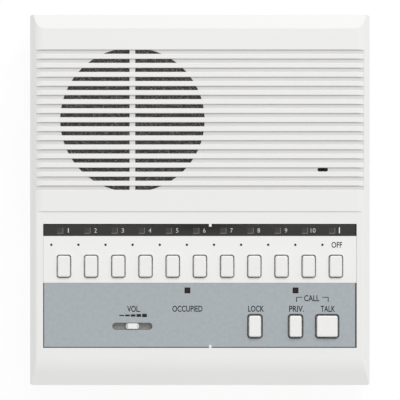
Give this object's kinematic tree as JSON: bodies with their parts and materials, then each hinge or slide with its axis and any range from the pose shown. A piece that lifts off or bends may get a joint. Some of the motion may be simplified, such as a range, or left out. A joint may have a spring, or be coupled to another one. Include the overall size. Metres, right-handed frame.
{
  "type": "intercom master station",
  "caption": "Flat white desk and wall intercom master station with a slotted loudspeaker face, a row of station keys, function keys and a volume slider.",
  "frame": {"origin": "on the surface that the feet stand on, below the middle of the case", "axes": "+X to the right of the front face, +Y to its loudspeaker end, +Z out of the front face"},
  "size_m": [0.21, 0.229, 0.058],
  "materials": {
    "case_white": "fine satin grain, moulded ABS",
    "plate_white": "smooth printed plastic plate",
    "plate_grey": "satin silver-grey printed plate",
    "smoked_strip": "smoked acrylic strip",
    "key_white": "smooth satin moulding",
    "slot_grey": "matte fibre strip",
    "grille_cloth": "coarse woven loudspeaker cloth",
    "black_plastic": "moulded phenolic",
    "sheet_steel": "zinc-plated sheet",
    "spring_steel": "bright drawn wire",
    "screw_steel": "plated screws",
    "board_tan": "paper-phenolic circuit board",
    "board_green": "lacquered circuit board",
    "lamp_red": "tinted lamp body",
    "lamp_window": "dark red light guide",
    "rubber_black": "moulded rubber",
    "cone_paper": "pressed paper",
    "ferrite": "sintered ferrite",
    "bare_aluminium": "drawn and extruded aluminium",
    "capacitor_sleeve": "shrunk sleeve",
    "lamination_steel": "stacked laminations",
    "coil_wrap": "varnished tape over the winding",
    "connector_ivory": "moulded nylon",
    "ribbon_grey": "flat cable sheath",
    "terminal_brass": "nickel-free brass screws"
  },
  "bodies": {
    "station": {"front_case": "case_white", "rear_cover": "case_white", "indicator_window": "smoked_strip", "name_plate": "plate_white", "control_plate": "plate_grey", "grille_cloth": "grille_cloth", "volume_pot": "sheet_steel", "volume_board": "board_tan", "key_bank_frame": "sheet_steel", "key_switches": "black_plastic", "key_springs": "spring_steel", "latch_spring": "spring_steel", "function_frame": "sheet_steel", "key_board": "board_tan", "lamp_board": "board_tan", "station_lamps": "lamp_red", "light_pipes": "lamp_window", "panel_leds": "lamp_red", "speaker_gasket": "rubber_black", "speaker_basket": "sheet_steel", "speaker_cone": "cone_paper", "dust_cap": "cone_paper", "pole_plate": "sheet_steel", "speaker_magnet": "ferrite", "speaker_yoke": "sheet_steel", "speaker_screws": "screw_steel", "mic_boot": "rubber_black", "mic_capsule": "bare_aluminium", "amp_board": "board_green", "capacitors": "capacitor_sleeve", "amplifier_chip": "black_plastic", "heat_sink": "bare_aluminium", "transformer_core": "lamination_steel", "transformer_coil": "coil_wrap", "board_connectors": "connector_ivory", "ribbon_cables": "ribbon_grey", "leads": "ribbon_grey", "terminal_block": "black_plastic", "terminal_screws": "terminal_brass", "board_screws": "screw_steel", "case_screws": "screw_steel", "feet": "rubber_black"},
    "key_1_body": {"key_1": "key_white"},
    "key_2_body": {"key_2": "key_white"},
    "key_3_body": {"key_3": "key_white"},
    "key_4_body": {"key_4": "key_white"},
    "key_5_body": {"key_5": "key_white"},
    "key_6_body": {"key_6": "key_white"},
    "key_7_body": {"key_7": "key_white"},
    "key_8_body": {"key_8": "key_white"},
    "key_9_body": {"key_9": "key_white"},
    "key_10_body": {"key_10": "key_white"},
    "key_off_body": {"key_off": "key_white"},
    "lock_key_body": {"lock_key": "key_white"},
    "privacy_key_body": {"privacy_key": "key_white"},
    "talk_key_body": {"talk_key": "key_white"},
    "volume_slider": {"volume_knob": "key_white", "volume_lever": "black_plastic", "volume_shield": "slot_grey"},
    "latch": {"latch_bar": "sheet_steel"}
  },
  "joints": [
    {"name": "key_1_press", "type": "slide", "parent": "station", "child": "key_1_body", "axis": [0, 0, -1], "range_m": [0, 0.0035], "stiffness_N_per_m": 250, "springref_m": -0.002, "deforming": ["key_springs"]},
    {"name": "key_2_press", "type": "slide", "parent": "station", "child": "key_2_body", "axis": [0, 0, -1], "range_m": [0, 0.0035], "stiffness_N_per_m": 250, "springref_m": -0.002, "deforming": ["key_springs"]},
    {"name": "key_3_press", "type": "slide", "parent": "station", "child": "key_3_body", "axis": [0, 0, -1], "range_m": [0, 0.0035], "stiffness_N_per_m": 250, "springref_m": -0.002, "deforming": ["key_springs"]},
    {"name": "key_4_press", "type": "slide", "parent": "station", "child": "key_4_body", "axis": [0, 0, -1], "range_m": [0, 0.0035], "stiffness_N_per_m": 250, "springref_m": -0.002, "deforming": ["key_springs"]},
    {"name": "key_5_press", "type": "slide", "parent": "station", "child": "key_5_body", "axis": [0, 0, -1], "range_m": [0, 0.0035], "stiffness_N_per_m": 250, "springref_m": -0.002, "deforming": ["key_springs"]},
    {"name": "key_6_press", "type": "slide", "parent": "station", "child": "key_6_body", "axis": [0, 0, -1], "range_m": [0, 0.0035], "stiffness_N_per_m": 250, "springref_m": -0.002, "deforming": ["key_springs"]},
    {"name": "key_7_press", "type": "slide", "parent": "station", "child": "key_7_body", "axis": [0, 0, -1], "range_m": [0, 0.0035], "stiffness_N_per_m": 250, "springref_m": -0.002, "deforming": ["key_springs"]},
    {"name": "key_8_press", "type": "slide", "parent": "station", "child": "key_8_body", "axis": [0, 0, -1], "range_m": [0, 0.0035], "stiffness_N_per_m": 250, "springref_m": -0.002, "deforming": ["key_springs"]},
    {"name": "key_9_press", "type": "slide", "parent": "station", "child": "key_9_body", "axis": [0, 0, -1], "range_m": [0, 0.0035], "stiffness_N_per_m": 250, "springref_m": -0.002, "deforming": ["key_springs"]},
    {"name": "key_10_press", "type": "slide", "parent": "station", "child": "key_10_body", "axis": [0, 0, -1], "range_m": [0, 0.0035], "stiffness_N_per_m": 250, "springref_m": -0.002, "deforming": ["key_springs"]},
    {"name": "key_off_press", "type": "slide", "parent": "station", "child": "key_off_body", "axis": [0, 0, -1], "range_m": [0, 0.0035], "stiffness_N_per_m": 250, "springref_m": -0.002, "deforming": ["key_springs"]},
    {"name": "lock_key_press", "type": "slide", "parent": "station", "child": "lock_key_body", "axis": [0, 0, -1], "range_m": [0, 0.0035], "stiffness_N_per_m": 250, "springref_m": -0.002, "deforming": ["key_springs"]},
    {"name": "privacy_key_press", "type": "slide", "parent": "station", "child": "privacy_key_body", "axis": [0, 0, -1], "range_m": [0, 0.0035], "stiffness_N_per_m": 250, "springref_m": -0.002, "deforming": ["key_springs"]},
    {"name": "talk_key_press", "type": "slide", "parent": "station", "child": "talk_key_body", "axis": [0, 0, -1], "range_m": [0, 0.0035], "stiffness_N_per_m": 250, "springref_m": -0.002, "deforming": ["key_springs"]},
    {"name": "volume_slide", "type": "slide", "parent": "station", "child": "volume_slider", "axis": [1, 0, 0], "range_m": [-0.0075, 0.0075]},
    {"name": "latch_slide", "type": "slide", "parent": "station", "child": "latch", "axis": [-1, 0, 0], "range_m": [0, 0.0015], "stiffness_N_per_m": 200, "springref_m": -0.001, "deforming": ["latch_spring"]}
  ]
}
